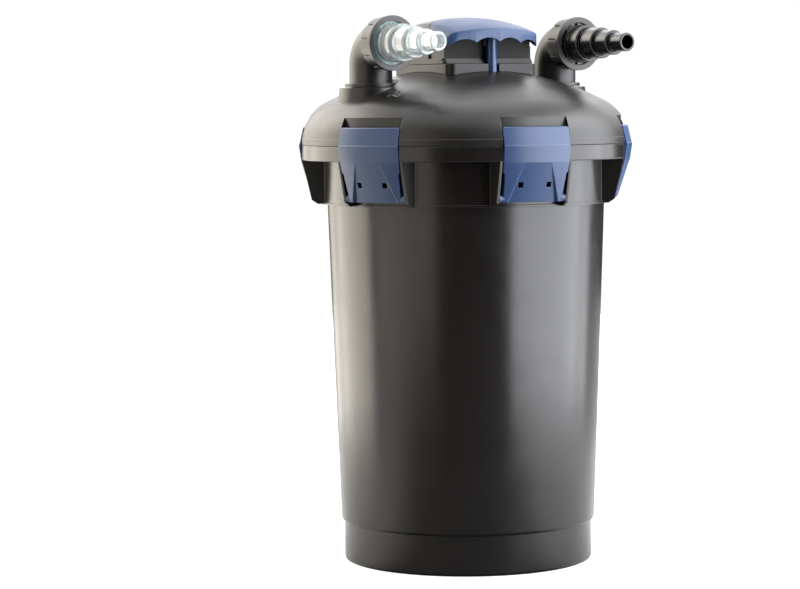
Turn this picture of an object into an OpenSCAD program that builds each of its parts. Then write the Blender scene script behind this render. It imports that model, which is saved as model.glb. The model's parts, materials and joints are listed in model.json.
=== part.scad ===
// Pressurized pond filter: a round canister with a clipped-down domed lid, two swivelling
// hose ports, a UV clarifier head and a handle that squeezes the foam pack clean.
// Millimetres. The canister stands on z = 0 around the Z axis, and the hose tails point to -Y.

/* [Tank] */
// Outer radius of the base ring
base_r = 142; // [138:1:145]
// Height of the base ring
base_h = 45; // [30:1:60]
// Outer radius of the barrel just above the base ring
barrel_low_r = 145.5; // [144:0.5:148]
// Outer radius of the barrel just under the skirt
barrel_top_r = 158; // [154:1:159]
// Wall of the barrel
wall = 4; // [3:0.5:5]
// Outer radius of the skirt that carries the clips
skirt_r = 162.5; // [162:0.5:163]
// Height of the skirt's lower edge
skirt_z = 408; // [400:1:408]
// Outer radius of the tank flange and of the lid rim
rim_r = 187; // [186:1:190]
// Height of the flange's underside
flange_z = 458; // [454:1:460]
// Height of the seam between tank and lid
seam_z = 475; // [473:0.5:476]

/* [Lid] */
// Radius of the spherical dome
dome_r = 350; // [345:1:360]
// Height of the top of the dome
dome_top = 561.5; // [560:0.5:562]
// Radius of the rounded shoulder
shoulder_r = 53; // [50:1:54]
// Outer radius of the spigot that enters the tank
spigot_r = 157.5; // [156:0.5:158]

/* [Clips] */
// Polar angle of the first clip, in degrees from +X
clip_phase = -98; // [-110:0.5:-80]
// Width of a clip at its upper end
clip_w = 79; // [70:1:79]
// Width of a clip at its lower end
clip_low_w = 72; // [60:1:74]
// Height of a clip's lower end
clip_low = 413.5; // [412:0.5:415]
// Height of a clip's upper end
clip_top = 495.5; // [490:0.5:500]

/* [Ports] */
// Distance of each port from the canister's axis
port_x = 125; // [120:1:128]
// Height of the hose tails' axis
nozzle_z = 588; // [585:1:600]
// Outer radius of the elbow pipe
pipe_r = 24; // [22:0.5:24]
// Distance from the port's axis to the tip of the hose tail
tail_tip = 142; // [130:1:160]
// Radius of the smallest hose step
step_r = 10.5; // [9:0.5:11]
// Growth in radius from one hose step to the next
step_grow = 3.5; // [3:0.25:3.5]

/* [UV head] */
// Half width of the head along X
head_x = 59; // [55:1:60]
// Half depth of the head along Y
head_y = 60; // [56:1:60]
// Height of the head base's top
deck_z = 565; // [564:0.5:566]

/* [Handle] */
// Height of the top of the handle, level with the cover behind it
grip_top = 618.3; // [617:0.1:619]
// Distance of the pull rod in front of the canister's axis
rod_y = 55; // [54:0.5:56]
// Radius of the pull rod
rod_r = 6.25; // [5:0.25:6.25]

/* [Foam] */
// Number of foam rings, each in a node of its own
foam_count = 6; // [6]
// Outer radius of the foam rings
foam_r = 125; // [110:1:126]
// Height of the foam stack's lower face
foam_low = 55.5; // [55:0.5:60]
// Height of the foam stack's upper face
foam_top = 415; // [400:1:415]

/* [Hidden] */
$fn = 96;

black = [0.17, 0.16, 0.155];
blue = [0.45, 0.58, 0.76];
steel = [0.75, 0.76, 0.78];
rubber = [0.08, 0.08, 0.08];
teal = [0.24, 0.58, 0.52];
clear = [0.85, 0.93, 0.93, 0.4];
white = [0.92, 0.92, 0.9];
foam_blue = [0.22, 0.36, 0.62];

eps = 0.1;                            // overlap that keeps unions and cuts clean
gap = 0.3;                            // room between parts that are not a fit
far = 300;                            // larger than any radius of the part

tank_bore_r = spigot_r + 1;           // bore that the lid's spigot enters
floor_z = 7;                          // top of the tank floor
weld_z = skirt_z + 6;                 // top of the barrel inside the clip ring
foot_r = base_r - 16;                 // inner radius of the foot ring
lid_low = seam_z + gap;               // underside of the lid rim
dome_z = dome_top - dome_r;           // centre of the dome
shoulder_x = rim_r - shoulder_r;      // centre of the shoulder, from the axis
shoulder_z = dome_z + sqrt(pow(dome_r - shoulder_r, 2) - pow(shoulder_x, 2));
blend_x = shoulder_x * dome_r / (dome_r - shoulder_r);
spigot_in_r = spigot_r - 6.5;         // inner radius of the spigot
spigot_low = 440;                     // lower edge of the spigot

clip_n = 6;
clip_pocket = clip_w + 1.5;           // width of the pocket that a clip lies in
clip_seat_r = 177.4;                  // floor of the lid's clip pockets
clip_hinge_r = 168.5;                 // distance of a clip's pin from the axis
clip_hinge_z = 418;                   // height of a clip's pin
clip_pin_r = 2;
clip_bore_r = clip_pin_r + 0.05;      // running fit on the pin
cheek_t = 3;                          // thickness of the plates beside a clip
cheek_in = 155;                       // where a plate starts, inside the skirt's wall
clip_pin_end = clip_pocket / 2 + 2;   // end of a pin, hidden in the plate

collar_top = 539.3;                   // top of the collars round the ports
port_bore_r = 22.4;                   // bore in the lid for an elbow
elbow_in_r = 19;                      // water way through an elbow
bend_r = 25;                          // radius of an elbow's centre line
bend_z = nozzle_z - bend_r;           // height where an elbow starts to bend
nut_back = 25.5;                      // union nut, from the port's axis
nut_front = 48.5;
nut_bore_r = 26;
nut_open_r = 24.4;
step_n = 4;                           // hose sizes on a tail
step_len = 23.5;                      // length of one hose step

head_corner = 9;                      // rounding of the head's upright corners
panel_cut = 2;                        // depth of the recessed band on the sides of the cover
panel_back = 32;                      // how far back the band runs on the sides
panel_y = 49;                         // front face of the cover
cover_x = 60;                         // half width of the cover
cover_wall = 3;
screw_at = [[51, 51], [-51, 51], [48, -41], [-48, -41]];
gland_at = [37, 584];                 // cable gland: x and z on the back of the cover

grip_r = 200;                         // radius of the domed top of handle and cover
grip_round = 14;                      // rounding of the dome into its two sides
grip_front = 73;                      // front of the handle at its middle
grip_front_r = 169;                   // radius of the handle's front in plan
grip_corner = 15;                     // rounding of the handle's front corners in plan
grip_back_y = -71.6;                  // centre of the arc that ends the handle at the back
grip_back_r = 78.5;                   // radius of that arc
grip_side = 61;                       // half width of the handle
grip_t = 3;                           // wall of the handle
grip_low = 572;                       // below the handle's lower tips
finger_n = 4;                         // finger scallops along the handle's front
finger_r = 24;                        // radius of a scallop
finger_pitch = 28;                    // distance between two scallops
visor_gap = 0.8;                      // room between the handle and the cover under it

tube_r = 40;                          // outer radius of the perforated centre tube
sleeve_r = 17;                        // outer radius of the quartz sleeve
plate_low = 47;                       // press plate under the foams
plate_z = [foam_top, foam_top + 6];   // separator plate over the foams

// ---------- shared shapes ----------

module ring(r_out, r_in, z0, z1) {
    difference() {
        translate([0, 0, z0]) cylinder(r = r_out, h = z1 - z0);
        translate([0, 0, z0 - eps]) cylinder(r = r_in, h = z1 - z0 + 2 * eps);
    }
}

module torus(r, section_r, z) {
    translate([0, 0, z])
        rotate_extrude() translate([r, 0]) circle(r = section_r, $fn = 32);
}

// rounded rectangle, centred in x, from y0 to y1
module round_plan(half_x, y0, y1, corner) {
    union() {
        translate([-half_x + corner, y0]) square([2 * (half_x - corner), y1 - y0]);
        translate([-half_x, y0 + corner]) square([2 * half_x, y1 - y0 - 2 * corner]);
        for (x = [-1, 1])
            for (y = [y0 + corner, y1 - corner])
                translate([x * (half_x - corner), y]) circle(r = corner, $fn = 48);
    }
}

// upright prism of a rounded rectangle
module round_block(half_x, y0, y1, z0, z1, corner) {
    translate([0, 0, z0]) linear_extrude(height = z1 - z0) round_plan(half_x, y0, y1, corner);
}

module at_clip(k) {
    rotate([0, 0, clip_phase + k * 360 / clip_n]) children();
}

// place children, modelled along +Z from a port's axis, along the hose tail of that port
module along_nozzle(side) {
    translate([side * port_x, 0, nozzle_z]) rotate([90, 0, 0]) children();
}

// ---------- tank ----------

module tank_outline() {
    polygon([
        [0, 3], [foot_r, 3], [foot_r, 0], [base_r - 3, 0], [base_r - 0.9, 0.9], [base_r, 3],
        [base_r, base_h], [barrel_low_r - 1, base_h + 1.2], [barrel_low_r, base_h + 3],
        [barrel_top_r, skirt_z], [barrel_top_r, weld_z], [barrel_top_r - wall, weld_z - 1],
        [barrel_top_r - wall, skirt_z], [barrel_low_r - wall, base_h + 3],
        [base_r - wall, base_h], [base_r - wall, floor_z + 5], [base_r - wall - 5, floor_z],
        [0, floor_z]
    ]);
}

// ring welded round the barrel's mouth: skirt, flange and seat for the lid
module clip_ring_outline() {
    polygon([
        [barrel_top_r + 0.02, skirt_z], [skirt_r + 1.5, skirt_z], [skirt_r + 1.5, skirt_z + 2.5],
        [skirt_r, skirt_z + 2.5], [skirt_r, flange_z], [rim_r - 1, flange_z],
        [rim_r, flange_z + 1], [rim_r, seam_z - 0.6], [rim_r - 0.6, seam_z],
        [tank_bore_r + 1.5, seam_z], [tank_bore_r, seam_z - 1.5], [tank_bore_r, weld_z + 1],
        [barrel_top_r + 0.02, weld_z]
    ]);
}

module clip_cheek_outline() {
    polygon([
        [cheek_in, skirt_z + 0.5], [skirt_r + 2, skirt_z + 0.5], [171.5, clip_low - 0.5],
        [182, flange_z], [182, flange_z + 0.5], [cheek_in, flange_z + 0.5]
    ]);
}

module clip_cheeks() {
    for (side = [-1, 1])
        translate([0, side * (clip_pocket + cheek_t) / 2 + cheek_t / 2, 0])
            rotate([90, 0, 0]) linear_extrude(height = cheek_t) clip_cheek_outline();
}

module tank() {
    color(black) rotate_extrude($fn = 180) tank_outline();
}

module clip_ring() {
    color(black) difference() {
        union() {
            rotate_extrude($fn = 180) clip_ring_outline();
            for (k = [0 : clip_n - 1]) at_clip(k) clip_cheeks();
        }
        for (k = [0 : clip_n - 1]) at_clip(k) {
            difference() {
                translate([clip_seat_r - 10, -clip_pocket / 2, flange_z - eps])
                    cube([40, clip_pocket, seam_z - flange_z + 1]);
                cylinder(r = 180, h = 600, $fn = 180);
            }
            translate([clip_hinge_r, 0, clip_hinge_z]) rotate([90, 0, 0])
                cylinder(r = clip_bore_r, h = 2 * clip_pin_end + 0.2, center = true, $fn = 32);
        }
    }
}

module clip_pins() {
    color(steel) for (k = [0 : clip_n - 1]) at_clip(k)
        translate([clip_hinge_r, 0, clip_hinge_z]) rotate([90, 0, 0])
            cylinder(r = clip_pin_r, h = 2 * clip_pin_end, center = true, $fn = 32);
}

// ---------- lid ----------

module lid_outside() {
    intersection() {
        translate([0, dome_z]) circle(r = dome_r, $fn = 360);
        translate([0, lid_low]) square([blend_x, dome_r]);
    }
    intersection() {
        translate([shoulder_x, shoulder_z]) circle(r = shoulder_r, $fn = 180);
        translate([shoulder_x, lid_low]) square([shoulder_r, 2 * shoulder_r]);
    }
    translate([spigot_in_r, lid_low]) square([rim_r - spigot_in_r, 7]);
}

module lid_inside() {
    inner_r = 36;
    inner_x = 135;
    inner_z = dome_z + sqrt(pow(dome_r - wall - inner_r, 2) - pow(inner_x, 2));
    inner_blend = inner_x * (dome_r - wall) / (dome_r - wall - inner_r);
    intersection() {
        translate([0, dome_z]) circle(r = dome_r - wall, $fn = 360);
        translate([0, inner_z - eps]) square([inner_blend, dome_r]);
    }
    intersection() {
        translate([inner_x, inner_z]) circle(r = inner_r, $fn = 180);
        translate([inner_x, inner_z - eps]) square([inner_r, 2 * inner_r]);
    }
    polygon([
        [0, spigot_low - 1], [spigot_in_r, spigot_low - 1], [spigot_in_r, 478],
        [inner_x + inner_r, inner_z], [0, inner_z]
    ]);
}

module lid_spigot() {
    groove = [[spigot_r - 3.2, 451.9], [spigot_r + 1, 451.9],
              [spigot_r + 1, 456.1], [spigot_r - 3.2, 456.1]];
    difference() {
        translate([spigot_in_r, spigot_low])
            square([spigot_r - spigot_in_r, lid_low - spigot_low + 1]);
        polygon(groove);
    }
}

module lid_shell() {
    rotate([0, 0, 45]) rotate_extrude($fn = 180) {
        difference() {
            lid_outside();
            lid_inside();
        }
        lid_spigot();
    }
}

// cup under one port: a collar outside, a wall inside the dome and a sleeve for the elbow
module port_collar(side) {
    translate([side * port_x, 0, 0]) difference() {
        union() {
            translate([0, 0, 512]) rotate([0, 0, 90])
                cylinder(r1 = 37.8, r2 = 35, h = collar_top - 512);
            intersection() {
                translate([0, 0, 528]) rotate([0, 0, 90]) cylinder(r = 34, h = 22);
                translate([-side * port_x, 0, dome_z]) rotate([0, 0, 45])
                    sphere(r = dome_r - 1.5, $fn = 360);
            }
        }
        ring(33, 27, 511, 530);
    }
}

// raised arrow on the dome in front of a port, pointing along the flow
module flow_arrow(side, heading) {
    intersection() {
        translate([0, 0, dome_z]) difference() {
            sphere(r = dome_r + 0.8, $fn = 360);
            sphere(r = dome_r - 1, $fn = 360);
        }
        translate([side * 129, -56, 500]) rotate([0, 0, heading])
            linear_extrude(height = 60)
                difference() {
                    polygon([[-11, -3], [1, -3], [1, -8], [11, 0], [1, 8], [1, 3], [-11, 3]]);
                    polygon([[-9.5, -1.5], [2.5, -1.5], [2.5, -5], [8.7, 0],
                             [2.5, 5], [2.5, 1.5], [-9.5, 1.5]]);
                }
    }
}

module lid() {
    color(black) union() {
        difference() {
            union() {
                lid_shell();
                port_collar(-1);
                port_collar(1);
                translate([0, -rod_y, 537]) cylinder(r = 14, h = 16);
            }
            for (k = [0 : clip_n - 1]) at_clip(k) difference() {
                translate([clip_seat_r - 20, -clip_pocket / 2, seam_z - 2])
                    cube([60, clip_pocket, 33]);
                cylinder(r = clip_seat_r, h = 600, $fn = 180);
            }
            for (side = [-1, 1]) translate([side * port_x, 0, 0]) {
                translate([0, 0, collar_top]) rotate([0, 0, 90]) cylinder(r = 31.5, h = 40);
                translate([0, 0, 500]) rotate([0, 0, 90]) cylinder(r = port_bore_r, h = 60);
            }
            translate([0, 0, 530]) cylinder(r = 32, h = 40);
            translate([0, -rod_y, 530]) cylinder(r = rod_r + 0.5, h = 40);
            translate([0, -rod_y, 530]) cylinder(r = 10.05, h = 21);
        }
        flow_arrow(-1, 90);
        flow_arrow(1, -90);
    }
}

module lid_seal() {
    color(rubber) torus(156.25, 1.9, 454);
}

module separator_plate() {
    color(white) difference() {
        union() {
            ring(150.5, tube_r + gap, plate_z[0], plate_z[1]);
            ring(150.5, 147, plate_z[1] - eps, 446);
            for (a = [15 : 30 : 345]) rotate([0, 0, a])
                translate([56, -1.5, plate_z[1] - eps]) cube([92, 3, 8]);
        }
        translate([0, -rod_y, plate_z[0] - 1]) cylinder(r = 7.5, h = 20);
        translate([-port_x, 0, plate_z[0] - 1]) cylinder(r = 18.4, h = 20);
        for (a = [9 : 18 : 351]) rotate([0, 0, a])
            translate([foam_r + 13, 0, plate_z[0] - 1]) cylinder(r = 4.5, h = 7.01 - eps);
    }
}

module center_tube() {
    color(black) difference() {
        union() {
            ring(tube_r, tube_r - 2.5, 15, plate_z[1] + 4);
            ring(tube_r + 4, tube_r - 2.5, plate_z[1] + gap, plate_z[1] + 4);
        }
        for (a = [22.5 : 45 : 180])
            for (z = [65 : 44 : 373])
                translate([0, 0, z]) rotate([0, 0, a])
                    translate([-60, -5, 0]) cube([120, 10, 30]);
    }
}

module inlet_duct() {
    color(black) translate([-port_x, 0, 0]) {
        ring(18, 16, plate_z[0] - 2 + 3, 505);
        ring(21.8, 16, 501, 505);
    }
}

// ---------- foam ----------

module foam_ring(k) {
    foam_h = (foam_top - gap - foam_low) / foam_count;
    color(foam_blue) difference() {
        ring(foam_r, tube_r + 1, foam_low + (k - 1) * foam_h, foam_low + k * foam_h - 0.05);
        translate([0, -rod_y, foam_low - 1]) cylinder(r = rod_r + 1.25, h = foam_top);
    }
}

// ---------- UV head ----------

module uvc_base() {
    color(black) difference() {
        union() {
            difference() {
                round_block(head_x, -head_y, head_y, 540, deck_z, head_corner);
                translate([0, 0, dome_z]) sphere(r = dome_r + 0.2, $fn = 360);
                round_block(head_x - 4, -head_y + 11, head_y - 4, 539, deck_z - 3, head_corner);
            }
            translate([0, 0, 540]) cylinder(r = 31.5, h = deck_z - 540);
            translate([0, 0, 532.2]) cylinder(r = 24, h = 10);
        }
        translate([0, 0, 530]) cylinder(r = sleeve_r + 0.4, h = 40);
        translate([0, -rod_y, 540]) cylinder(r = rod_r + 0.8, h = 40);
        translate([0, -rod_y - 4, 540]) cylinder(r = rod_r + 1, h = 40);
        for (p = screw_at) translate([p[0], p[1], 545]) {
            cylinder(r = 2.3, h = 20, $fn = 32);
            cylinder(r = 4.3, h = deck_z - 3 - 545, $fn = 32);
        }
    }
}

// domed body shared by handle and cover: a sphere rounded into two flat sides
module crown(half_x, inset) {
    round_x = half_x - grip_round;
    round_y = sqrt(pow(grip_r - grip_round, 2) - pow(round_x, 2));
    blend = round_x * grip_r / (grip_r - grip_round);
    translate([0, 0, grip_top - grip_r]) rotate([0, 90, 0])
        rotate_extrude($fn = 240) {
            intersection() {
                circle(r = grip_r - inset, $fn = 240);
                translate([0, -blend]) square([grip_r, 2 * blend]);
            }
            for (side = [-1, 1]) translate([round_y, side * round_x])
                circle(r = grip_round - inset, $fn = 96);
            translate([0, -half_x + inset]) square([round_y, 2 * (half_x - inset)]);
        }
}

module cover_solid(inset) {
    intersection() {
        round_block(cover_x - inset, -panel_y + inset, head_y - inset,
                    deck_z + gap - (inset > 0 ? 1 : 0), 640, 4);
        crown(cover_x, inset);
    }
}

// recess that takes the handle, so that the handle lies level with the cover
module visor_recess() {
    difference() {
        translate([-80, -120, deck_z + 20]) cube([160, 140, 80]);
        crown(grip_side, grip_t + visor_gap);
    }
}

module uvc_cover() {
    color(black) difference() {
        union() {
            difference() {
                cover_solid(0);
                cover_solid(cover_wall + visor_gap + grip_t);
            }
            for (p = screw_at) translate([p[0], p[1], deck_z + gap])
                cylinder(r = 6.5, h = 16, $fn = 48);
            intersection() {
                translate([0, -rod_y, deck_z + gap]) cylinder(r = 13, h = 60);
                cover_solid(0);
            }
            // rim along the foot of the front
            round_block(cover_x, -panel_y - 2, -panel_y + 6, deck_z + gap, deck_z + 3.2, 3.5);
        }
        intersection() {
            visor_recess();
            translate([0, grip_back_y, 0]) cylinder(r = grip_back_r + 1, h = 700);
        }
        // recessed band across the front and round both corners
        translate([-cover_x - 1, -panel_y - 1, deck_z + 6]) cube([2 * cover_x + 2, 2.4, 50]);
        for (side = [-1, 1]) translate([side * cover_x, 0, 0])
            translate([-panel_cut, -panel_y - 1, 0]) rotate([90, 0, 90])
                linear_extrude(height = 2 * panel_cut) hull() {
                    translate([0, deck_z + 6]) square([panel_back, 1]);
                    translate([0, deck_z + 60]) square([panel_back + 4, 1]);
                }
        translate([0, -rod_y, deck_z - 1]) cylinder(r = rod_r + 0.8, h = 60);
        translate([0, -rod_y, deck_z + 20]) cylinder(r = 9.2, h = 40);
        for (p = screw_at) translate([p[0], p[1], deck_z - 1]) cylinder(r = 2.05, h = 14, $fn = 32);
        translate([gland_at[0], head_y - 10, gland_at[1]]) rotate([-90, 0, 0])
            cylinder(r = 8.1, h = 20);
    }
}

module uvc_screws() {
    color(steel) for (p = screw_at) translate([p[0], p[1], 0]) {
        translate([0, 0, deck_z - 6.4]) cylinder(r = 4, h = 3.3, $fn = 32);
        translate([0, 0, deck_z - 6]) cylinder(r = 2, h = 17, $fn = 32);
    }
}

module ballast() {
    color(white) translate([-14, 0, 0]) union() {
        round_block(29, 24, 49, deck_z + 0.5, deck_z + 24, 3);
        for (x = [-31, 31]) translate([x - 4, 27, deck_z + 0.5]) cube([8, 14, 3]);
    }
}

module lamp_socket() {
    color(white) difference() {
        union() {
            translate([0, 0, 522]) cylinder(r = 14.5, h = 50);
            translate([0, 0, deck_z + 0.4]) cylinder(r = 21, h = 4);
        }
        for (x = [-7.2, 7.2]) translate([x, 0, 520]) cylinder(r = 6.5, h = 22);
    }
}

module uvc_lamp() {
    color([0.95, 0.96, 1, 0.7]) union() {
        for (x = [-7.2, 7.2]) translate([x, 0, 150]) {
            cylinder(r = 6.2, h = 390, $fn = 48);
            sphere(r = 6.2, $fn = 48);
        }
        translate([-7.2, 0, 158]) rotate([0, 90, 0]) cylinder(r = 4, h = 14.4, $fn = 32);
    }
}

module quartz_sleeve() {
    color(clear) difference() {
        union() {
            translate([0, 0, 140]) cylinder(r = sleeve_r, h = 404);
            translate([0, 0, 140]) sphere(r = sleeve_r);
        }
        translate([0, 0, 140]) cylinder(r = sleeve_r - 1.5, h = 405);
        translate([0, 0, 140]) sphere(r = sleeve_r - 1.5);
    }
}

module sleeve_seal() {
    color(rubber) torus(20.1, 2.7, 529.2);
}

module sleeve_nut() {
    color(black) union() {
        difference() {
            ring(29.5, sleeve_r + 0.5, 520, 538.5);
            translate([0, 0, 526.3]) cylinder(r = 24.2, h = 20);
        }
        for (a = [0 : 45 : 315]) rotate([0, 0, a]) translate([29, -2, 520]) cube([2.2, 4, 18.5]);
    }
}

module cable_gland() {
    color(black) translate([gland_at[0], head_y, gland_at[1]]) rotate([-90, 0, 0])
        difference() {
            union() {
                translate([0, 0, -8]) cylinder(r = 8, h = 24);
                translate([0, 0, 0.2]) cylinder(r = 11, h = 6, $fn = 6);
            }
            translate([0, 0, -9]) cylinder(r = 4.2, h = 40);
        }
}

module gland_nut() {
    color(black) translate([gland_at[0], head_y, gland_at[1]]) rotate([-90, 0, 0])
        difference() {
            union() {
                translate([0, 0, 6.5]) cylinder(r = 10.5, h = 11, $fn = 6);
                translate([0, 0, 17]) cylinder(r1 = 9, r2 = 7, h = 5);
            }
            translate([0, 0, 6]) cylinder(r = 8.1, h = 10.4);
            translate([0, 0, 10]) cylinder(r = 4.2, h = 20);
        }
}

// ---------- handle and press ----------

module rod_bush() {
    color(white) translate([0, -rod_y, 0]) ring(10, rod_r + 0.08, 538, 547.2);
}

module rod_seal() {
    color(rubber) translate([0, -rod_y, 0]) torus(8.35, 1.6, 549);
}

// plan of the handle, drawn in by the inset
module grip_plan(inset) {
    front_y = grip_front_r - grip_front;
    corner_x = grip_side - grip_corner;
    corner_y = front_y - sqrt(pow(grip_front_r - grip_corner, 2) - pow(corner_x, 2));
    blend = corner_x * grip_front_r / (grip_front_r - grip_corner);
    intersection() {
        union() {
            intersection() {
                translate([0, front_y]) circle(r = grip_front_r - inset, $fn = 240);
                translate([-blend, -100]) square([2 * blend, 200]);
            }
            for (side = [-1, 1]) translate([side * corner_x, corner_y])
                circle(r = grip_corner - inset, $fn = 96);
            translate([-grip_side + inset, corner_y]) square([2 * (grip_side - inset), 100]);
        }
        translate([0, grip_back_y])
            circle(r = grip_back_r + (inset > 0 ? 20 : 0), $fn = 180);
    }
}

module grip_body(inset) {
    intersection() {
        translate([0, 0, grip_low]) linear_extrude(height = 60) grip_plan(inset);
        crown(grip_side, inset);
    }
}

module handle_grip() {
    color(blue) difference() {
        union() {
            difference() {
                grip_body(0);
                grip_body(grip_t);
            }
            intersection() {
                translate([0, -rod_y, 592]) cylinder(r = 8.2, h = 40);
                grip_body(1);
            }
        }
        // the side edges fall forward to the tips
        translate([-100, -62, grip_low + 10]) rotate([27.5, 0, 0])
            translate([0, -40, -60]) cube([200, 160, 60]);
        for (i = [0 : finger_n - 1]) {
            from_mid = i - (finger_n - 1) / 2;
            translate([from_mid * finger_pitch, -90, abs(from_mid) > 1 ? 568 : 570])
                rotate([-90, 0, 0]) cylinder(r = finger_r, h = 42, $fn = 96);
        }
        translate([0, -rod_y, 580]) cylinder(r = rod_r + 0.05, h = 24);
        translate([0, -rod_y, 599]) rotate([0, 90, 0])
            cylinder(r = 1.55, h = 20, center = true, $fn = 32);
    }
}

module pull_rod() {
    color(blue) difference() {
        translate([0, -rod_y, plate_low - 10]) cylinder(r = rod_r, h = 603.5 - plate_low + 10);
        translate([0, -rod_y, 599]) rotate([0, 90, 0])
            cylinder(r = 1.55, h = 20, center = true, $fn = 32);
    }
}

module grip_pin() {
    color(steel) translate([0, -rod_y, 599]) rotate([0, 90, 0])
        cylinder(r = 1.5, h = 16, center = true, $fn = 32);
}

module press_plate() {
    color(white) difference() {
        union() {
            ring(foam_r + 2, foam_r - 4, plate_low, plate_low + 8);
            ring(tube_r + 6, tube_r + 1.5, plate_low, plate_low + 8);
            ring(foam_r - 3, tube_r + 5, plate_low + 5, plate_low + 8);
            translate([0, -rod_y, plate_low]) cylinder(r = 12, h = 8);
        }
        difference() {
            for (a = [0 : 20 : 340]) rotate([0, 0, a]) {
                translate([70, 0, plate_low]) cylinder(r = 6, h = 9);
                translate([95, 0, plate_low]) cylinder(r = 9, h = 9);
            }
            translate([0, -rod_y, 0]) cylinder(r = 13, h = 100);
        }
        translate([0, -rod_y, plate_low - 1]) cylinder(r = rod_r + 0.05, h = 20);
        translate([0, 0, plate_low - 1]) cylinder(r = tube_r + 1.5, h = 20);
    }
}

module rod_nut() {
    color(steel) translate([0, -rod_y, 0]) difference() {
        translate([0, 0, plate_low - 7]) cylinder(r = 11, h = 6.9, $fn = 6);
        translate([0, 0, plate_low - 8]) cylinder(r = rod_r + 0.05, h = 10);
    }
}

// ---------- ports ----------

// quarter bend of a round bar, from the vertical pipe to the nozzle
module bend(r) {
    translate([0, -bend_r, bend_z]) rotate([0, 0, 90]) rotate([90, 0, 0])
        rotate_extrude(angle = 90) translate([bend_r, 0]) circle(r = r);
}

module elbow(side) {
    color(black) difference() {
        union() {
            translate([side * port_x, 0, 0]) {
                translate([0, 0, 508]) cylinder(r = 22, h = collar_top + 0.6 - 508);
                translate([0, 0, 508]) cylinder(r1 = 22.4, r2 = 24, h = 3.4);
                translate([0, 0, collar_top + 0.6]) cylinder(r = 29, h = 4.1);
                translate([0, 0, collar_top + 0.6]) cylinder(r = pipe_r, h = bend_z - collar_top - 0.6);
                bend(pipe_r);
            }
            along_nozzle(side) {
                translate([0, 0, bend_r]) cylinder(r = pipe_r, h = 5);
                for (i = [0 : 3]) translate([0, 0, 29 + i * 2.6]) cylinder(r = 25.6, h = 1.6);
                translate([0, 0, 29]) cylinder(r = 25, h = 9.4);
            }
        }
        translate([side * port_x, 0, 0]) {
            translate([0, 0, 507]) cylinder(r = elbow_in_r, h = bend_z - 507);
            translate([0, 0, 511.4]) ring(25, 22, 0, 0.8);
            translate([0, 0, 522]) ring(25, 20.2, 0, 2.8);
            bend(elbow_in_r);
            for (a = [0, 90]) rotate([0, 0, a]) translate([-30, -1, 507]) cube([60, 2, 9]);
        }
        along_nozzle(side) translate([0, 0, bend_r]) cylinder(r = elbow_in_r, h = 40);
    }
}

module elbow_seal(side) {
    color(rubber) translate([side * port_x, 0, 0]) torus(21.2, 0.95, 523.4);
}

// one hose size: a plain land towards the tip and a low barb behind it
module hose_step(k) {
    r = step_r + (step_n - 1 - k) * step_grow;
    back = tail_tip - (step_n - k) * step_len;
    front = back + step_len;
    polygon([
        [0, back - 0.5], [r - 0.7, back - 0.5], [r - 0.7, back + 5], [r + 0.5, back + 5],
        [r, back + 8], [r, front - 1], [r - 0.8, front], [0, front]
    ]);
}

module tail(side, shade) {
    root = tail_tip - step_n * step_len;
    color(shade) along_nozzle(side) union() {
        rotate_extrude() difference() {
            union() {
                translate([0, 41.6]) square([25.3, 2.6]);
                translate([0, 44]) square([step_r + 3 * step_grow, root - 44 + 1]);
                for (k = [0 : step_n - 1]) hose_step(k);
            }
            for (k = [0 : step_n - 1])
                translate([0, 41])
                    square([step_r + (step_n - 1 - k) * step_grow - 2.6,
                            root + (k + 1) * step_len - 2.6 - 41]);
            translate([0, 41]) square([step_r - 2.6, tail_tip]);
        }
        for (a = [0 : 45 : 315]) rotate([0, 0, a])
            translate([step_r + 3 * step_grow - 1.2, -0.8, 44]) cube([3.8, 1.6, 3]);
    }
}

module tail_gasket(side) {
    color(teal) along_nozzle(side) ring(25.2, elbow_in_r, 38.6, 41.5);
}

module union_nut(side) {
    color(black) along_nozzle(side) difference() {
        union() {
            translate([0, 0, nut_back]) cylinder(r = 27.2, h = nut_front - nut_back);
            translate([0, 0, nut_front - 5.5]) cylinder(r = 30.5, h = 5.5);
            for (i = [0 : 9]) rotate([0, 0, i * 36 + 9]) intersection() {
                translate([0, 0, nut_back + 1.2]) cylinder(r = 29, h = 14.8);
                translate([20, -7.6, nut_back]) cube([20, 15.2, 20]);
            }
        }
        translate([0, 0, nut_back - 1]) cylinder(r = nut_bore_r, h = 44.5 - nut_back + 1);
        translate([0, 0, 40]) cylinder(r = nut_open_r, h = 20);
    }
}

// ---------- clips ----------

module clip_profile() {
    polygon([
        [166, clip_low], [174.2, clip_low], [175.4, clip_low + 1.2], [187.5, flange_z - 1],
        [190, seam_z - 1.5], [190, seam_z], [189.4, seam_z + 1.2], [185.2, clip_top - 1],
        [184.3, clip_top], [178.2, clip_top], [178.2, seam_z + 4], [181, seam_z + 1],
        [181, flange_z - 1.5], [171, clip_low + 13], [166, clip_low + 11]
    ]);
}

// outline of a clip seen from outside, with a longer notch in each edge
module clip_front() {
    half = [[clip_low_w / 2 + 0.2, clip_low - 1], [clip_low_w / 2 + 0.7, clip_low + 5],
            [35.3, clip_low + 6], [37, 445], [38.6, 446], [clip_w / 2, flange_z],
            [clip_w / 2, clip_top - 1.5], [clip_w / 2 - 1.5, clip_top + 0.1]];
    polygon(concat(half, [for (i = [len(half) - 1 : -1 : 0]) [-half[i][0], half[i][1]]]));
}

// everything behind the slanting wall on one side of a clip's scoop
module scoop_side(side) {
    top = [188.5, side * 17.5, flange_z - 1];
    slope = [-230, side * 230, 157.5];
    translate(top) rotate([0, acos(slope[2] / norm(slope)), atan2(slope[1], slope[0])])
        translate([-100, -100, -200]) cube([200, 200, 200]);
}

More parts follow.
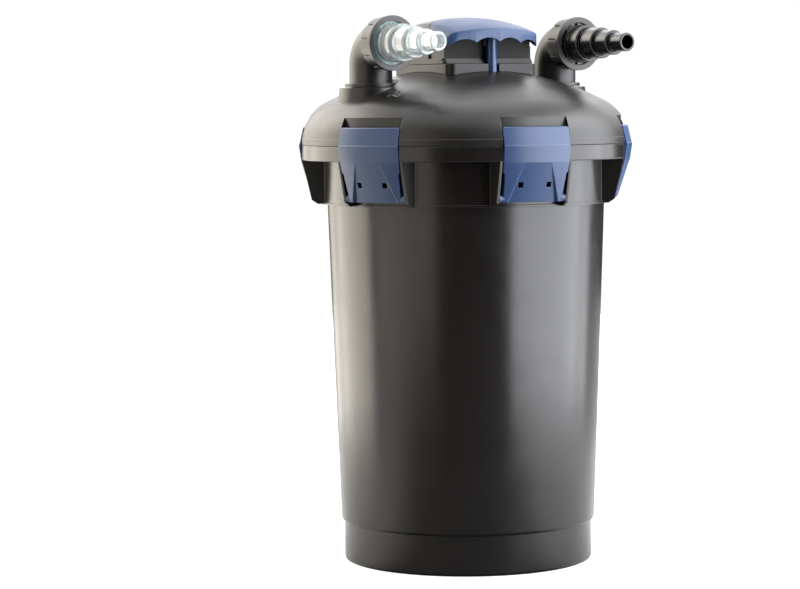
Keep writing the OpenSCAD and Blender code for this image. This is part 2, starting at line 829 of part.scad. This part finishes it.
module clip_latch(k) {
    color(blue) at_clip(k - 1) difference() {
        union() {
            intersection() {
                rotate([0, 0, -15]) rotate_extrude(angle = 30, $fn = 360) clip_profile();
                rotate([90, 0, 90]) linear_extrude(height = far) clip_front();
            }
            translate([clip_hinge_r, 0, clip_hinge_z]) rotate([90, 0, 0])
                cylinder(r = 4.4, h = clip_pocket - 2 * gap, center = true, $fn = 48);
        }
        // hollow back
        translate([160, -33, clip_low + 13]) cube([11, 66, flange_z - clip_low - 15]);
        translate([0, -33, 0]) rotate([90, 0, 0]) mirror([0, 0, 1]) linear_extrude(height = 66)
            polygon([[165, clip_low + 13], [174, clip_low + 13], [181.8, flange_z - 2],
                     [165, flange_z - 2]]);
        // scooped thumb area, deeper towards the lower edge
        intersection() {
            rotate([0, 0, -15]) rotate_extrude(angle = 30, $fn = 360)
                polygon([[187.5, flange_z - 1], [170.8, clip_low - 1], [far, clip_low - 1],
                         [far, flange_z - 1]]);
            scoop_side(-1);
            scoop_side(1);
        }
        for (t = [-17, 17]) translate([160, t - 3, 429.5]) cube([40, 6, 6]);
        translate([clip_hinge_r, 0, clip_hinge_z]) rotate([90, 0, 0])
            cylinder(r = clip_bore_r, h = 90, center = true, $fn = 32);
    }
}

// ---------- assembly ----------

tank();
clip_ring();
clip_pins();
lid();
lid_seal();
separator_plate();
center_tube();
inlet_duct();
foam_ring(1);  // foam_1
foam_ring(2);  // foam_2
foam_ring(3);  // foam_3
foam_ring(4);  // foam_4
foam_ring(5);  // foam_5
foam_ring(6);  // foam_6
uvc_base();
uvc_cover();
uvc_screws();
ballast();
lamp_socket();
uvc_lamp();
quartz_sleeve();
sleeve_seal();
sleeve_nut();
cable_gland();
gland_nut();
rod_bush();
rod_seal();
handle_grip();
pull_rod();
grip_pin();
press_plate();
rod_nut();
elbow(-1);  // inlet_elbow
elbow_seal(-1);  // inlet_elbow_seal
tail(-1, clear);  // inlet_tail
tail_gasket(-1);  // inlet_tail_gasket
union_nut(-1);  // inlet_nut
elbow(1);  // outlet_elbow
elbow_seal(1);  // outlet_elbow_seal
tail(1, black);  // outlet_tail
tail_gasket(1);  // outlet_tail_gasket
union_nut(1);  // outlet_nut
clip_latch(1);  // clip_1
clip_latch(2);  // clip_2
clip_latch(3);  // clip_3
clip_latch(4);  // clip_4
clip_latch(5);  // clip_5
clip_latch(6);  // clip_6
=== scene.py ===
import json
import math

import bmesh
import bpy
from mathutils import Matrix, Vector, noise


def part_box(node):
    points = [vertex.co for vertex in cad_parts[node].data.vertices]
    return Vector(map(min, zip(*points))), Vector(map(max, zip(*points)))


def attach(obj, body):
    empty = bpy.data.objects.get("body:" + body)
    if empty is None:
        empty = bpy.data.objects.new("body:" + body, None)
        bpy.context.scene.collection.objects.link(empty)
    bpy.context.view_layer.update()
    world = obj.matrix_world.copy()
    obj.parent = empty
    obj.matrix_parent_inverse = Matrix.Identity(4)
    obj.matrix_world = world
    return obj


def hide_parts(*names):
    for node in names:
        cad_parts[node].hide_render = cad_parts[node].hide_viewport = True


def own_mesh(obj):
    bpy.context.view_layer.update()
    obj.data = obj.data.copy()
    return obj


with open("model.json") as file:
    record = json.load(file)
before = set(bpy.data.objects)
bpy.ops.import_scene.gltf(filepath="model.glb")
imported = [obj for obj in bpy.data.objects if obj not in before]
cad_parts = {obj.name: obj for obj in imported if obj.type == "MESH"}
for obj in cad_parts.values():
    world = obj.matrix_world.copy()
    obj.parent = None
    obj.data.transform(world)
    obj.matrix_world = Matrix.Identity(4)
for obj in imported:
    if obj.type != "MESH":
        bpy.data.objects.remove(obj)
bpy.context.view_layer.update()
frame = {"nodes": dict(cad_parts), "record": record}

nodes = frame["nodes"]
MM = 0.001


# ---------- shader nodes ----------

def add_node(tree, kind, inputs=None, **options):
    """New shader node. inputs gives each socket, by name or number, a value or an output to link."""
    node = tree.nodes.new("ShaderNode" + kind)
    for key, value in options.items():
        setattr(node, key, value)
    for key, value in (inputs or {}).items():
        if isinstance(value, bpy.types.NodeSocket):
            tree.links.new(value, node.inputs[key])
        else:
            node.inputs[key].default_value = value
    return node


def add_ramp(tree, value, low, high, out_low, out_high, **options):
    """Maps a value from low..high to out_low..out_high."""
    limits = {"From Min": low, "From Max": high, "To Min": out_low, "To Max": out_high}
    return add_node(tree, "MapRange", {"Value": value, **limits}, **options).outputs["Result"]


def add_dot(tree, a, b):
    """Dot product of two vectors."""
    return add_node(tree, "VectorMath", {0: a, 1: b}, operation="DOT_PRODUCT").outputs["Value"]


def principled(mat):
    return mat.node_tree.nodes["Principled BSDF"]


# ---------- camera ----------

VIEW_AZIMUTH = -33.0       # the camera stands this far round the object, in degrees
CAM_DISTANCE = 3.09        # from the canister's axis
CAM_HEIGHT = 0.526
CAM_PITCH = -4.132         # looks down by this much
CAM_YAW = 1.41             # looks past the object's left side by this much
CAM_ROLL = -0.5
LENS = 121.5               # focal length on a 36 mm wide sensor


def bearing(turn):
    """Unit vector on the ground, turned to the camera's right from the direction of the camera."""
    a = math.radians(VIEW_AZIMUTH - 90 + turn)
    return Vector((math.cos(a), math.sin(a), 0))


def make_camera():
    data = bpy.data.cameras.new("camera")
    data.lens = LENS
    data.sensor_width = 36
    data.clip_start = 0.05
    data.clip_end = 60
    cam = bpy.data.objects.new("camera", data)
    bpy.context.scene.collection.objects.link(cam)
    spot = bearing(0) * CAM_DISTANCE
    turn = (Matrix.Rotation(math.radians(VIEW_AZIMUTH + CAM_YAW), 4, "Z")
            @ Matrix.Rotation(math.radians(90 + CAM_PITCH), 4, "X")
            @ Matrix.Rotation(math.radians(CAM_ROLL), 4, "Z"))
    cam.matrix_world = Matrix.Translation((spot.x, spot.y, CAM_HEIGHT)) @ turn
    bpy.context.scene.camera = cam


# ---------- light ----------

WARM = (1.0, 0.94, 0.82)
COOL = (0.935, 0.957, 1.0)

# upright panels: bearing in degrees, distance, lowest and highest edge, width, radiance, tint
PANELS = {
    "panel_left": (-105, 1.05, 0.0, 1.6, 0.85, 4.6, WARM),
    "panel_left_rim": (-138, 1.15, 0.0, 1.6, 0.5, 2.4, WARM),
    "panel_right": (68, 1.0, 0.02, 1.6, 1.25, 6.6, COOL),
    "panel_right_rim": (108, 1.15, 0.02, 1.6, 0.4, 4.0, COOL),
    "panel_front": (-50, 1.6, 0.0, 1.5, 1.6, 1.3, WARM),
    "panel_back": (170, 1.6, 1.05, 2.1, 2.0, 0.9, COOL),
}
TOP_PANEL_HEIGHT = 1.9

BACKDROP = 1.05            # brightness of the white that the camera sees
SEEN_THROUGH = 0.72        # brightness that clear parts show behind them
SKY_TINT = (1.0, 0.99, 0.98, 1)
SKY_LEAN = 0.35            # how far the sky's glow leans towards the back
SKY_EDGE = (0.3, 0.65)     # sines of the elevation, before the lean, between which the sky brightens
SKY_BRIGHTNESS = (0.05, 2.0)


def softbox(name, turn, distance, low, high, width, radiance, tint):
    """Large even upright panel facing the canister, from height low to high."""
    data = bpy.data.lights.new(name, "AREA")
    data.shape = "RECTANGLE"
    data.size = width
    data.size_y = high - low
    data.energy = radiance * math.pi * width * (high - low)
    data.color = tint
    lamp = bpy.data.objects.new(name, data)
    bpy.context.scene.collection.objects.link(lamp)
    lamp.location = bearing(turn) * distance + Vector((0, 0, (low + high) / 2))
    lamp.rotation_euler = (-bearing(turn)).to_track_quat("-Z", "Y").to_euler()
    lamp.visible_camera = False
    return lamp


def make_lights():
    for name, panel in PANELS.items():
        softbox(name, *panel)
    top = softbox("panel_top", 180, 0.15, 1.0, 2.0, 1.2, 1.2, COOL)
    top.location.z = TOP_PANEL_HEIGHT
    top.rotation_euler = (0, 0, math.radians(VIEW_AZIMUTH))      # laid flat, facing down


def make_world():
    """White to the camera; to all else a sky, dark at the horizon, with a soft glow above and behind."""
    world = bpy.data.worlds.new("studio")
    bpy.context.scene.world = world
    world.use_nodes = True
    tree = world.node_tree
    tree.nodes.clear()
    direction = add_node(tree, "TexCoord").outputs["Generated"]
    lift = add_dot(tree, direction, bearing(180) * SKY_LEAN + Vector((0, 0, 1)))
    sky = add_ramp(tree, lift, *SKY_EDGE, *SKY_BRIGHTNESS, interpolation_type="SMOOTHSTEP")
    path = add_node(tree, "LightPath")
    through = add_node(tree, "Mix", {
        "Factor": path.outputs["Is Transmission Ray"],
        "A": sky,
        "B": SEEN_THROUGH,
    })
    unseen = add_node(tree, "Background", {"Color": SKY_TINT, "Strength": through.outputs["Result"]})
    seen = add_node(tree, "Background", {"Color": (1, 1, 1, 1), "Strength": BACKDROP})
    either = add_node(tree, "MixShader", {
        0: path.outputs["Is Camera Ray"],
        1: unseen.outputs[0],
        2: seen.outputs[0],
    })
    add_node(tree, "OutputWorld", {"Surface": either.outputs[0]})


# ---------- floor ----------

FLOOR_RADIUS = 3.5
PAPER = 0.8                # albedo that the camera sees
PAPER_BEHIND = 0.5         # albedo that reflections see, behind the object and at its sides
# painted shade: what reflections see of the paper is darker on the camera's side, where the paper is
# unlit
PAPER_PAINTED_SHADE = 0.06      # and on the camera's side, where the paper is unlit
FRONT_EDGE = (0.45, 0.8)   # cosines of the bearings between which one turns into the other
FADE = (0.15, 0.45)        # distances from the axis between which the paper fades to pure white
GLOW = (0.62, 1.1)         # the paper's own light before and after that


def floor_look():
    """White paper that fades to the backdrop's white away from the object's foot; reflections see it
    with painted shade on the camera's side.
    """
    mat = bpy.data.materials.new("floor_paper")
    mat.use_nodes = True
    tree = mat.node_tree
    shader = principled(mat)
    shader.inputs["Roughness"].default_value = 0.95
    shader.inputs["Emission Color"].default_value = (1, 1, 1, 1)
    camera_ray = add_node(tree, "LightPath").outputs["Is Camera Ray"]
    spot = add_node(tree, "TexCoord").outputs["Object"]
    heading = add_node(tree, "VectorMath", {0: spot}, operation="NORMALIZE").outputs["Vector"]
    front = add_dot(tree, heading, bearing(0))
    # painted shade: reflections see the paper darker on the camera's side
    paper_with_painted_shade = add_ramp(tree, front, *FRONT_EDGE, PAPER_BEHIND, PAPER_PAINTED_SHADE)
    albedo = add_node(tree, "Mix", {"Factor": camera_ray, "A": paper_with_painted_shade, "B": PAPER})
    tree.links.new(albedo.outputs["Result"], shader.inputs["Base Color"])
    away = add_node(tree, "VectorMath", {0: spot}, operation="LENGTH").outputs["Value"]
    fade = add_ramp(tree, away, *FADE, *GLOW)
    glow = add_node(tree, "Math", {0: camera_ray, 1: fade}, operation="MULTIPLY")
    tree.links.new(glow.outputs[0], shader.inputs["Emission Strength"])
    return mat


def make_floor():
    mesh = bpy.data.meshes.new("floor")
    bm = bmesh.new()
    bmesh.ops.create_circle(bm, cap_ends=True, segments=128, radius=FLOOR_RADIUS)
    bm.to_mesh(mesh)
    bm.free()
    floor = bpy.data.objects.new("floor", mesh)
    bpy.context.scene.collection.objects.link(floor)
    floor.location.z = -0.5 * MM
    mesh.materials.append(floor_look())


# ---------- materials ----------

LID_BLACK = (0.0062, 0.0055, 0.005)
HEAD_BLACK = (0.0058, 0.0052, 0.0048)
TANK_BLACK = (0.0062, 0.0054, 0.0048)
GLOSS_BLACK = (0.005, 0.005, 0.0053)
BLUE = (0.013, 0.037, 0.105)
# paler colours that sharp edges get: painted edge highlights
EDGE_HIGHLIGHT_BLACK = (0.045, 0.043, 0.041)
EDGE_HIGHLIGHT_GREY = (0.05, 0.05, 0.05)
EDGE_HIGHLIGHT_BLUE = (0.05, 0.095, 0.2)

EDGE_ROUNDING = 0.8        # sharp edges of moulded pieces look rounded by this radius, in millimetres


class Look:
    """A procedural material: a Principled shader and helpers that add nodes in object space."""

    def __init__(self, name, color, roughness):
        self.mat = bpy.data.materials.new(name)
        self.mat.use_nodes = True
        self.tree = self.mat.node_tree
        self.shader = principled(self.mat)
        self.shader.inputs["Base Color"].default_value = (*color, 1)
        self.shader.inputs["Roughness"].default_value = roughness
        self.coord = add_node(self.tree, "TexCoord").outputs["Object"]
        self.bump_normal = None

    def set(self, socket, value):
        """Gives one of the shader's own sockets a plain value."""
        self.shader.inputs[socket].default_value = value

    def link(self, socket, output):
        """Drives one of the shader's sockets with a node's output."""
        self.tree.links.new(output, self.shader.inputs[socket])

    def noise(self, scale, detail, stretch=(1, 1, 1)):
        move = add_node(self.tree, "Mapping", {"Vector": self.coord, "Scale": stretch})
        settings = {"Vector": move.outputs[0], "Scale": scale, "Detail": detail, "Roughness": 0.55}
        return add_node(self.tree, "TexNoise", settings).outputs["Fac"]

    def ramp(self, value, low, high, out_low, out_high):
        return add_ramp(self.tree, value, low, high, out_low, out_high)

    def mottle(self, low, high, scale, detail):
        """A noise between low and high."""
        return self.ramp(self.noise(scale, detail), 0.3, 0.7, low, high)

    def mix(self, factor, a, b):
        """Mixes two colours, each a tuple or an output."""
        a, b = ((*value, 1) if isinstance(value, tuple) else value for value in (a, b))
        inputs = {"Factor": factor, 6: a, 7: b}      # 6 and 7 are the colour sockets A and B
        return add_node(self.tree, "Mix", inputs, data_type="RGBA").outputs[2]

    def bump(self, height, strength, distance):
        """Adds a bump on top of the bumps and rounded edges that the material has so far."""
        inputs = {"Strength": strength, "Distance": distance, "Height": height}
        if self.bump_normal is not None:
            inputs["Normal"] = self.bump_normal
        self.bump_normal = add_node(self.tree, "Bump", inputs).outputs[0]
        self.link("Normal", self.bump_normal)

    def round_edges(self, radius):
        """Shades sharp edges as if rounded; returns 0 on plain surface, 1 on sharp edges."""
        self.bump_normal = add_node(self.tree, "Bevel", {"Radius": radius * MM}, samples=6).outputs[0]
        self.link("Normal", self.bump_normal)
        flat = add_node(self.tree, "NewGeometry").outputs["Normal"]
        return self.ramp(add_dot(self.tree, self.bump_normal, flat), 0.985, 0.88, 0, 1)


def moulded(name, base, edge_highlight_color, rough_low, rough_high, grain=0.12):
    """Moulded plastic: faint cloudy colour, grained skin, and a painted highlight that makes sharp edges
    paler.
    """
    look = Look(name, base, (rough_low + rough_high) / 2)
    edge_highlight_mask = look.round_edges(EDGE_ROUNDING)
    cloud = look.ramp(look.noise(9, 5), 0.35, 0.7, 0, 0.35)
    tone = look.mix(cloud, base, tuple(min(1, c * 1.25 + 0.002) for c in base))
    # sharp edges get a paler colour: painted edge highlight
    look.link("Base Color", look.mix(edge_highlight_mask, tone, edge_highlight_color))
    look.link("Roughness", look.mottle(rough_low, rough_high, 28, 6))
    look.bump(look.noise(1400, 2), grain, 0.2 * MM)
    look.bump(look.noise(14, 2), 0.06, 2 * MM)
    return look.mat


def chalky(mat):
    """Turns the mirror part of a material down, for plastic that has gone a little chalky."""
    principled(mat).inputs["Specular IOR Level"].default_value = 0.3
    return mat


PANEL_RECESS = 0.0034      # the cover's front panel lies this far behind its foremost edge
PANEL_ROUGHNESS = 0.72


def cover_look():
    """The cover's own black: its recessed front panel is matt."""
    mat = chalky(moulded("cover_black", HEAD_BLACK, EDGE_HIGHLIGHT_GREY, 0.30, 0.38))
    tree = mat.node_tree
    rough = principled(mat).inputs["Roughness"]
    spot = add_node(tree, "SeparateXYZ", {0: add_node(tree, "TexCoord").outputs["Object"]})
    panel_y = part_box("uvc_cover")[0].y + PANEL_RECESS
    inside = add_node(tree, "Math", {0: spot.outputs["Y"], 1: panel_y, 2: 0.2 * MM}, operation="COMPARE")
    skin = add_node(tree, "Mix", {
        "Factor": inside.outputs[0],
        "A": rough.links[0].from_socket,
        "B": PANEL_ROUGHNESS,
    })
    tree.links.new(skin.outputs["Result"], rough)
    return mat


def clear_look(name, tint, roughness, ior, milk, rings=0.05):
    """See-through plastic or glass; milk is the share that scatters light like frosted plastic."""
    look = Look(name, tint, roughness)
    look.set("Transmission Weight", 1.0 - milk)
    look.set("IOR", ior)
    look.link("Roughness", look.mottle(roughness, roughness + 0.06, 40, 5))
    look.bump(look.noise(700, 3, stretch=(0.02, 1, 0.02)), rings, 0.6 * MM)
    return look.mat


def foam_look(name, pore_shade_color, strand, cells):
    """Open-cell filter foam: paler strands, with painted shade darkening the pores between them."""
    look = Look(name, strand, 0.85)
    inputs = {"Vector": look.coord, "Scale": cells}
    pores = add_node(look.tree, "TexVoronoi", inputs, feature="DISTANCE_TO_EDGE").outputs["Distance"]
    pore_shade_mask = look.ramp(pores, 0.04, 0.3, 0, 1)
    lit = look.mix(look.mottle(0, 0.5, 18, 4), strand, tuple(c * 0.6 for c in strand))
    # the recessed pores are painted dark: painted shade
    look.link("Base Color", look.mix(pore_shade_mask, lit, pore_shade_color))
    look.link("Roughness", look.mottle(0.75, 0.95, 60, 3))
    look.bump(look.ramp(pores, 0.0, 0.35, 1, 0), 0.9, 1.2 * MM)
    return look.mat


looks = {
    "cover": cover_look(),
    "head": chalky(moulded("head_black", HEAD_BLACK, EDGE_HIGHLIGHT_GREY, 0.30, 0.38)),
    "handle": moulded("handle_blue", BLUE, EDGE_HIGHLIGHT_BLUE, 0.42, 0.52, grain=0.03),
    "lid": moulded("lid_black", LID_BLACK, EDGE_HIGHLIGHT_BLACK, 0.31, 0.40, grain=0.1),
    "port": moulded("port_black", LID_BLACK, EDGE_HIGHLIGHT_BLACK, 0.34, 0.42, grain=0.1),
    "black_plastic": moulded("black_plastic", TANK_BLACK, EDGE_HIGHLIGHT_BLACK, 0.20, 0.27),
    "satin_black": moulded("satin_black", HEAD_BLACK, EDGE_HIGHLIGHT_GREY, 0.22, 0.30),
    "gloss_black": moulded("gloss_black", GLOSS_BLACK, (0.08, 0.08, 0.08), 0.18, 0.26, grain=0.03),
    "blue_plastic": moulded("blue_plastic", BLUE, EDGE_HIGHLIGHT_BLUE, 0.28, 0.36, grain=0.03),
    "blue_rod": moulded("blue_rod", (0.01, 0.028, 0.09), (0.05, 0.09, 0.2), 0.16, 0.24, grain=0.03),
    "white_plastic": moulded("white_plastic", (0.46, 0.46, 0.44), (0.6, 0.6, 0.58), 0.35, 0.5),
    "rubber": moulded("rubber", (0.006, 0.006, 0.006), (0.02, 0.02, 0.02), 0.55, 0.75, grain=0.3),
    "teal_rubber": moulded("teal_rubber", (0.03, 0.42, 0.33), (0.16, 0.5, 0.42), 0.4, 0.55, grain=0.2),
    "steel": moulded("steel", (0.6, 0.61, 0.63), (0.8, 0.8, 0.8), 0.22, 0.34, grain=0.05),
    "coarse_foam": foam_look("coarse_foam", (0.004, 0.009, 0.03), (0.03, 0.09, 0.3), 330),
    "fine_foam": foam_look("fine_foam", (0.035, 0.005, 0.004), (0.42, 0.07, 0.05), 520),
    "clear_plastic": clear_look("clear_plastic", (0.89, 0.94, 0.95), 0.03, 1.4, 0.18, rings=0.07),
    "quartz": clear_look("quartz", (0.97, 0.98, 0.99), 0.01, 1.46, 0.0),
    "lamp_glass": clear_look("lamp_glass", (0.9, 0.93, 0.97), 0.05, 1.46, 0.2),
}
principled(looks["steel"]).inputs["Metallic"].default_value = 1.0


# ---------- carried-over CAD nodes ----------

slot_of = {part["node"]: part["material_slot"] for part in frame["record"]["subparts"]}

# nodes whose surface differs from the rest of their material slot
OWN_LOOK = {
    "uvc_cover": "cover",
    "uvc_base": "head",
    "lid": "lid",
    "handle_grip": "handle",
    "inlet_elbow": "port",
    "outlet_elbow": "port",
    "inlet_nut": "port",
    "outlet_nut": "port",
}


def soften(obj, width):
    """Rounds a CAD node's sharp edges by width in millimetres and keeps its curved faces smooth."""
    weld = obj.modifiers.new("weld", "WELD")
    weld.merge_threshold = 0.01 * MM
    flat = obj.modifiers.new("flat", "DECIMATE")
    flat.decimate_type = "DISSOLVE"
    flat.angle_limit = math.radians(0.4)
    bevel = obj.modifiers.new("bevel", "BEVEL")
    bevel.width = width * MM
    bevel.segments = 2
    bevel.limit_method = "ANGLE"
    bevel.angle_limit = math.radians(34)
    bevel.use_clamp_overlap = True
    bevel.harden_normals = True


def dress(name):
    obj = nodes[name]
    obj.data.materials.clear()
    obj.data.materials.append(looks[OWN_LOOK.get(name, slot_of[name])])


# ---------- foam rings ----------

FOAM_HOLE = 0.0408         # radius of the hole in a foam ring
FOAM_GAP = 0.0002          # its outer wall stays this far inside the CAD ring at mid height
FOAM_BOW = 0.0016          # and curves in by this much more towards its top and bottom
FOAM_CORNER = 0.004        # rounding of the outer corners
HOLE_CORNER = 0.003        # rounding of the hole's edge
FACE_GAP = 0.0001          # the flat faces lie this far inside the CAD ring
FOAM_AROUND = 180          # sections round one ring
HOLE_SIDE = 0.6            # a point nearer the axis than this share of the radius is on the hole's side


def foam_outline(outer, low, high):
    """Radius and height round one ring's section: bowed wall and rounded corners."""
    mid, half = (low + high) / 2, (high - low) / 2
    wall = outer - FOAM_GAP - FOAM_BOW
    flat_out = wall - FOAM_CORNER
    flat_in = FOAM_HOLE + HOLE_CORNER

    def corner(angle):
        """Distances from the wall and from the flat face, at an angle round an outer corner."""
        a = math.radians(angle)
        return FOAM_CORNER * (1 - math.cos(a)), FOAM_CORNER * (1 - math.sin(a))

    points = []
    for k in range(17):                              # outer wall, upwards
        t = -1 + k / 8
        points.append((wall + FOAM_BOW * (1 - t * t), mid + t * (half - FOAM_CORNER)))
    for k in range(1, 5):
        from_wall, from_face = corner(k * 18)
        points.append((wall - from_wall, high - from_face))
    for k in range(11):                              # top, inwards
        points.append((flat_out - (flat_out - flat_in) * k / 10, high - FACE_GAP))
    for k in range(1, 4):
        a = math.radians(k * 22.5)
        spot = (FOAM_HOLE + HOLE_CORNER * (1 - math.sin(a)), high - HOLE_CORNER * (1 - math.cos(a)))
        points.append(spot)
    for k in range(9):                               # hole, downwards
        points.append((FOAM_HOLE, high - HOLE_CORNER - (high - low - 2 * HOLE_CORNER) * k / 8))
    for k in range(11):                              # underside, outwards
        points.append((flat_in + (flat_out - flat_in) * k / 10, low + FACE_GAP))
    for k in range(1, 5):
        from_wall, from_face = corner(90 - k * 18)
        points.append((wall - from_wall, low + from_face))
    return points


def foam_skin(spot, number):
    """How deep the uneven skin of ring number lies at a place: small pits and slow swells."""
    pit = noise.noise(spot * 420 + Vector((number * 7.3, 0, 0)))
    swell = noise.noise(spot * 22 + Vector((0, number * 3.1, 0)))
    return 0.5 * MM * max(0.0, pit) + 0.6 * MM * (0.5 + 0.5 * swell)


def foam_ring(node, number):
    """One ring of cut filter foam, with an uneven, porous skin that stays inside the CAD ring."""
    low_corner, high_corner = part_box(node)
    outer = high_corner.x
    outline = foam_outline(outer, low_corner.z, high_corner.z)
    bm = bmesh.new()
    rings = []
    for i in range(FOAM_AROUND):
        a = 2 * math.pi * i / FOAM_AROUND
        ring = []
        for r, z in outline:
            depth = foam_skin(Vector((r * math.cos(a), r * math.sin(a), z)), number)
            r_skin = r - depth if r > outer * HOLE_SIDE else r + depth * 0.6
            ring.append(bm.verts.new((r_skin * math.cos(a), r_skin * math.sin(a), z)))
        rings.append(ring)
    count = len(outline)
    for i in range(FOAM_AROUND):
        here, there = rings[i], rings[(i + 1) % FOAM_AROUND]
        for j in range(count):
            k = (j + 1) % count
            bm.faces.new((here[j], there[j], there[k], here[k]))
    bmesh.ops.recalc_face_normals(bm, faces=bm.faces)
    mesh = bpy.data.meshes.new(f"{node}_cut")
    bm.to_mesh(mesh)
    bm.free()
    mesh.shade_smooth()
    mesh.materials.append(looks[slot_of[node]])
    ring = bpy.data.objects.new(f"{node}_cut", mesh)
    bpy.context.scene.collection.objects.link(ring)
    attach(ring, "lid")
    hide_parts(node)
    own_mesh(ring)


make_camera()
make_lights()
make_world()
make_floor()
soften(nodes["handle_grip"], 1.2)
for name in nodes:
    dress(name)
for number in range(1, 7):
    foam_ring(f"foam_{number}", number)

bpy.context.scene.view_settings.view_transform = "Standard"
